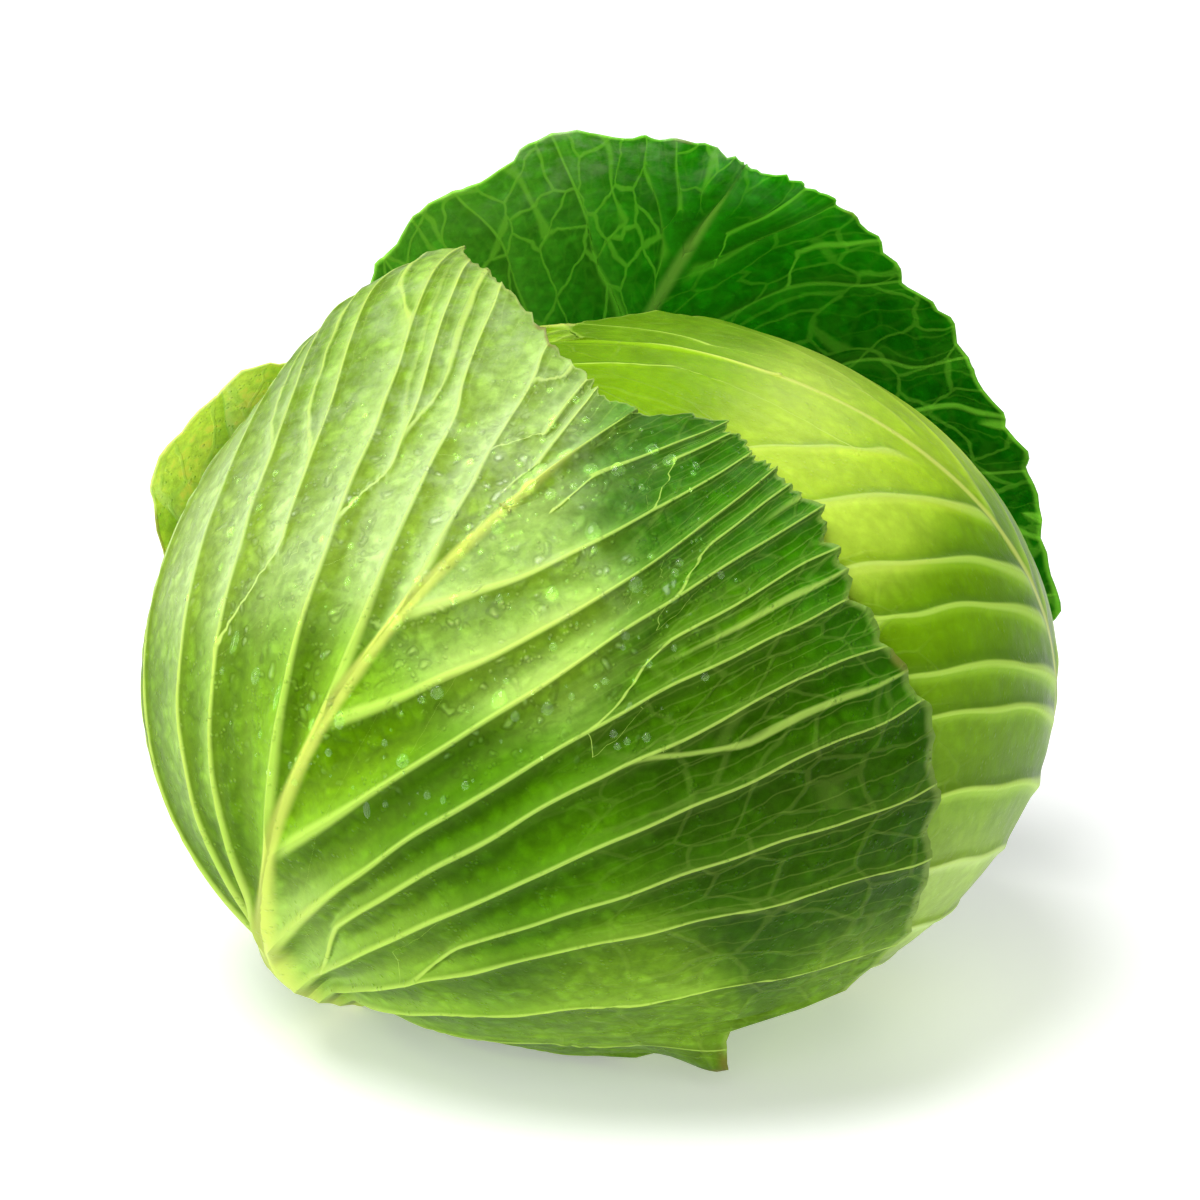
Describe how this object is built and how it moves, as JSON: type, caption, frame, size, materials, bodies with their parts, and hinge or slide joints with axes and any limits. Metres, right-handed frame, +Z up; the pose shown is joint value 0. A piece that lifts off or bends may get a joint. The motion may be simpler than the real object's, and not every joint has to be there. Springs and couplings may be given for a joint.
{
  "type": "cabbage head",
  "caption": "Green cabbage head resting tilted on a flat spot, its cut stalk below, with loose ribbed outer leaves wrapped round it and a netted leaf standing up behind.",
  "frame": {"origin": "middle of the flat spot that the cabbage rests on", "axes": "+Z up, -Y towards the side that the picture shows, +X to the right in it. The stalk points down and to -X."},
  "size_m": [0.1968, 0.1967, 0.1701],
  "materials": {
    "stalk": "matt, cut plant flesh",
    "head": "waxy leaf",
    "wrapper_leaf": "waxy leaf",
    "front_leaf": "waxy leaf, wet",
    "left_leaf": "waxy leaf",
    "back_leaf": "waxy leaf"
  },
  "bodies": {
    "root": {"stalk": "stalk", "head": "head", "wrapper_leaf": "wrapper_leaf", "front_leaf": "front_leaf", "left_leaf": "left_leaf", "back_leaf": "back_leaf"}
  },
  "joints": []
}
